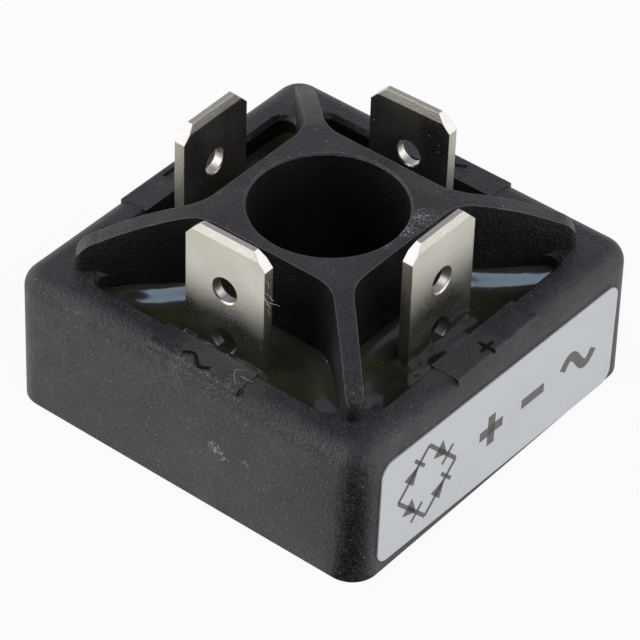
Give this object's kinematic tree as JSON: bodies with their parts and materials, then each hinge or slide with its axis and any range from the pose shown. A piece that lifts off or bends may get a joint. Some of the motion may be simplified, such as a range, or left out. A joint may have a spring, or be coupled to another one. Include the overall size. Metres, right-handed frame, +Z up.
{
  "type": "bridge rectifier",
  "caption": "Square potted single-phase bridge rectifier with a central screw bore, diagonal ribs and upright push-on blade terminals.",
  "frame": {"origin": "centre of the square base, on the mounting face", "axes": "+Z up along the screw bore, +X through the labelled face and the plus terminal, -Y through the front alternating-current terminal"},
  "size_m": [0.0287, 0.0286, 0.0177],
  "materials": {
    "housing_plastic": "black moulded plastic, fine spark texture, dusty",
    "potting_resin": "dark olive potting resin, glossy",
    "label_paper": "light grey self-adhesive film, satin",
    "seal_adhesive": "grey silicone adhesive",
    "plate_metal": "nickel-plated copper, fine ground",
    "solder": "dull solder",
    "ceramic": "white alumina ceramic, matte",
    "copper": "bare copper",
    "silicon": "metallised silicon",
    "tinned_blade": "tin-plated brass, bright, lightly handled"
  },
  "bodies": {
    "root": {"back_copper": "copper", "base_plate": "plate_metal", "ceramic_substrate": "ceramic", "clip_minus_back": "copper", "clip_minus_front": "copper", "clip_plus_back": "copper", "clip_plus_front": "copper", "diode_minus_back": "silicon", "diode_minus_front": "silicon", "diode_plus_back": "silicon", "diode_plus_front": "silicon", "housing": "housing_plastic", "potting_resin": "potting_resin", "seal_bead": "seal_adhesive", "side_label": "label_paper", "solder_layer": "solder", "terminal_ac_back": "tinned_blade", "terminal_ac_front": "tinned_blade", "terminal_minus": "tinned_blade", "terminal_plus": "tinned_blade", "track_ac_back": "copper", "track_ac_front": "copper", "track_minus": "copper", "track_plus": "copper"}
  },
  "joints": []
}
